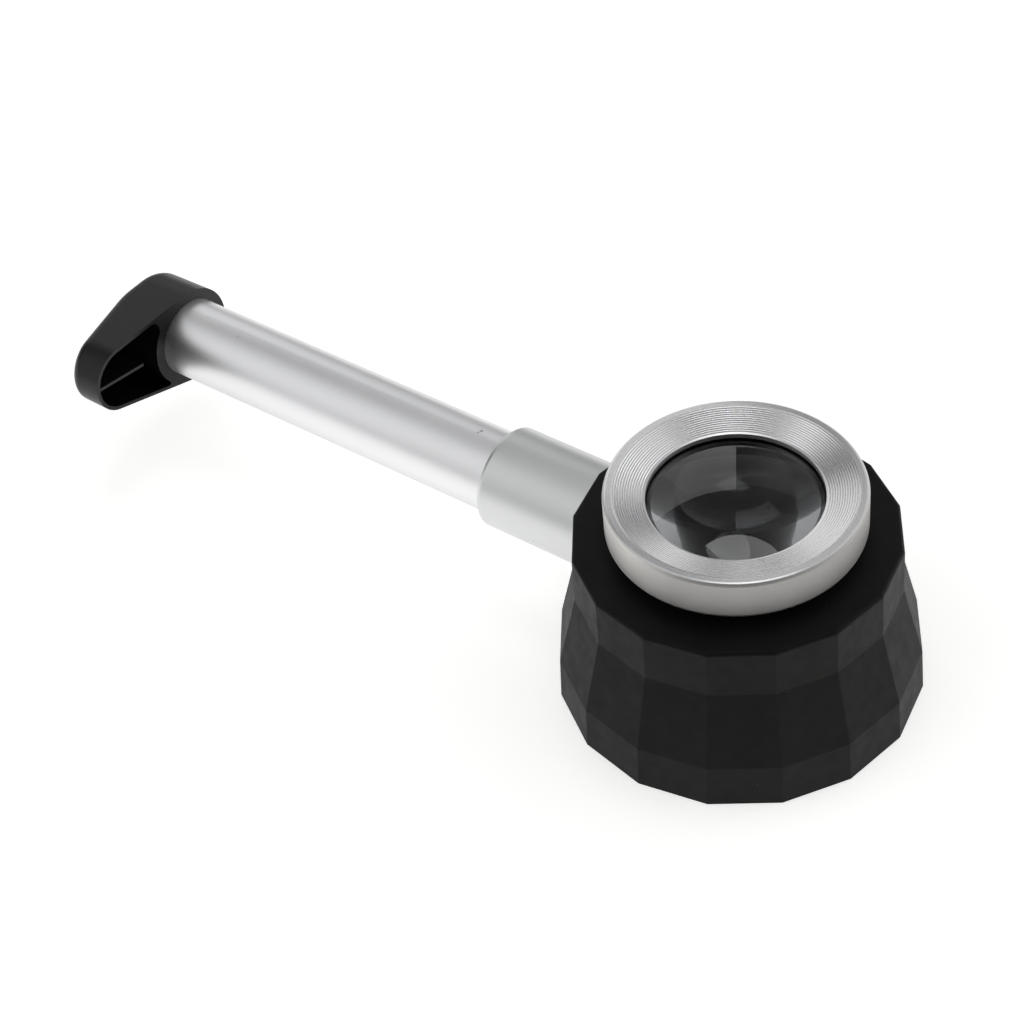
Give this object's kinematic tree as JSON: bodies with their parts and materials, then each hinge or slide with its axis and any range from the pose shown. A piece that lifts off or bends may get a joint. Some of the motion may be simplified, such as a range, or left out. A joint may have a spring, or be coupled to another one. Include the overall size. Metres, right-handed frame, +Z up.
{
  "type": "illuminated stand magnifier",
  "caption": "Illuminated focusing magnifier for film and prints: faceted rubber head that stands on the work, turning metal lens ring, straight battery handle with a one-sided end cap.",
  "frame": {"origin": "on the optical axis, at the level of the foot that rests on the print or film", "axes": "+Z up along the optical axis, -X along the handle away from the head, -Y the side the end cap's lobe points to"},
  "size_m": [0.211, 0.08, 0.0534],
  "materials": {
    "shell_rubber": "matte moulded rubber",
    "housing_plastic": "matte black moulding",
    "foot_metal": "black painted steel",
    "screw_steel": "zinc plated steel",
    "board_laminate": "solder-masked laminate",
    "lamp_body": "white lamp body with pale phosphor",
    "chip_ceramic": "dark glazed chip",
    "window_plastic": "frosted clear plastic",
    "carrier_metal": "black anodised",
    "ring_metal": "fine turned, clear anodised",
    "collar_metal": "satin anodised",
    "tube_metal": "satin anodised",
    "plug_metal": "plain turned",
    "optic_glass": "polished",
    "spring_steel": "bright spring wire",
    "seal_rubber": "smooth",
    "contact_plastic": "natural insulating plastic",
    "contact_brass": "plated brass",
    "cell_jacket": "plain printed film jacket without marks",
    "liner_plastic": "thin insulating tube",
    "lead_red": "red insulated lead",
    "lead_black": "black insulated lead",
    "cap_plastic": "satin black moulding"
  },
  "bodies": {
    "housing": {"head_shell": "shell_rubber", "inner_housing": "housing_plastic", "foot_ring": "foot_metal", "foot_screws": "screw_steel", "board_screws": "screw_steel", "collar_mount_screws": "screw_steel", "light_board": "board_laminate", "light_emitters": "lamp_body", "board_resistors": "chip_ceramic", "light_window": "window_plastic", "guide_pin": "screw_steel", "handle_collar": "collar_metal", "collar_grub_screw": "screw_steel", "handle_tube": "tube_metal", "contact_carrier": "contact_plastic", "positive_contact": "contact_brass", "battery_front": "cell_jacket", "battery_rear": "cell_jacket", "battery_liner": "liner_plastic", "positive_lead": "lead_red", "negative_lead": "lead_black"},
    "lens_carriage": {"lens_carrier": "carrier_metal", "friction_ring": "seal_rubber", "eye_lens": "optic_glass", "field_lens": "optic_glass", "lens_spacer": "carrier_metal", "lens_lock_ring": "carrier_metal", "ring_clip": "spring_steel"},
    "focusing_ring": {"focus_ring": "ring_metal"},
    "cap": {"end_cap": "cap_plastic", "cap_plug": "plug_metal", "cap_seal": "seal_rubber", "cap_screw": "screw_steel", "battery_spring": "spring_steel"}
  },
  "joints": [
    {"name": "lens_lift", "type": "slide", "parent": "housing", "child": "lens_carriage", "axis": [0, 0, 1], "range_m": [-0.0024, 0.001]},
    {"name": "focus_turn", "type": "hinge", "parent": "lens_carriage", "child": "focusing_ring", "pos_m": [0, 0, 0.047], "axis": [0, 0, 1], "range_deg": [-144, 60]},
    {"name": "cap_twist", "type": "hinge", "parent": "housing", "child": "cap", "pos_m": [-0.15615, 0, 0.02715], "axis": [1, 0, 0], "range_deg": [-90, 0]}
  ],
  "couplings": [
    {"joint": "lens_lift", "follows": "focus_turn", "m_per_rad": 0.00095493}
  ]
}
